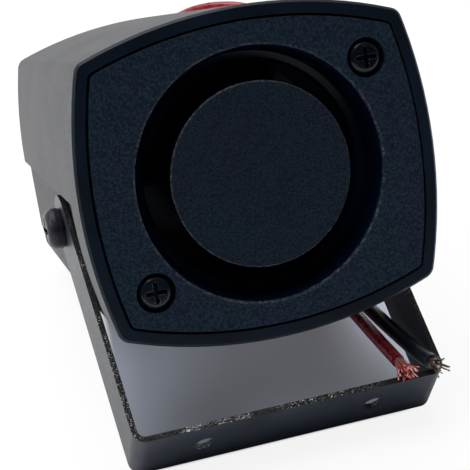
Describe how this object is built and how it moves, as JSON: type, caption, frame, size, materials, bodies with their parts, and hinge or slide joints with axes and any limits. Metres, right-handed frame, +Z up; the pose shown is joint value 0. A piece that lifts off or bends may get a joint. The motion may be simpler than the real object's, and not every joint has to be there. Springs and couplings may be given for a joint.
{
  "type": "alarm siren",
  "caption": "Compact alarm siren: a pillow-shaped housing with a re-entrant horn behind a centre disc, tilted in a bent strip bracket, with two bare-ended leads.",
  "frame": {"origin": "middle of the footprint of the siren and its bracket, on the surface they stand on", "axes": "+X along the bracket's pivot, to the right seen from the front; the horn faces -Y and up; +Z up from the surface"},
  "size_m": [0.1051, 0.2316, 0.0878],
  "materials": {
    "housing_plastic": "finely textured, satin",
    "plate_plastic": "leather grain, satin",
    "horn_plastic": "fine texture on the disc, smooth inside",
    "foam_rubber": "matt",
    "black_screw": "black plated, slightly glossy",
    "pivot_steel": "black plated, worn",
    "bracket_steel": "satin black with bare edges",
    "frame_plastic": "moulded, matt",
    "zinc_steel": "zinc plated",
    "diaphragm_film": "formed film",
    "copper_coil": "enamelled winding",
    "ferrite": "sintered, matt",
    "board_green": "solder mask",
    "winding_tape": "taped winding",
    "can_blue": "sleeved can",
    "chip_black": "moulded",
    "sink_aluminium": "extruded",
    "resistor_body": "lacquered",
    "grommet_rubber": "satin",
    "insert_brass": "machined",
    "red_pvc": "soft insulation",
    "black_pvc": "soft insulation",
    "tinned_copper": "frayed strands",
    "bare_copper": "frayed strands"
  },
  "bodies": {
    "siren": {"housing": "housing_plastic", "front_plate": "plate_plastic", "plate_gasket": "foam_rubber", "front_screws": "black_screw", "horn_core": "horn_plastic", "throat_horn": "frame_plastic", "driver_frame": "frame_plastic", "driver_screws": "zinc_steel", "diaphragm": "diaphragm_film", "voice_coil": "copper_coil", "top_plate": "zinc_steel", "magnet": "ferrite", "yoke": "zinc_steel", "circuit_board": "board_green", "board_screws": "zinc_steel", "transformer": "winding_tape", "capacitors": "can_blue", "power_transistors": "chip_black", "heat_sink": "sink_aluminium", "tone_chip": "chip_black", "resistors": "resistor_body", "inner_leads": "red_pvc", "lead_grommet": "grommet_rubber", "pivot_inserts": "insert_brass", "pivot_screws": "pivot_steel", "pivot_washers": "black_screw", "red_lead": "red_pvc", "black_lead": "black_pvc", "red_strands": "tinned_copper", "black_strands": "bare_copper"},
    "bracket": {"bracket": "bracket_steel"}
  },
  "joints": [
    {"name": "bracket_pivot", "type": "hinge", "parent": "siren", "child": "bracket", "pos_m": [0, -0.00009, 0.03167], "axis": [1, 0, 0], "range_deg": [0, 100]}
  ]
}
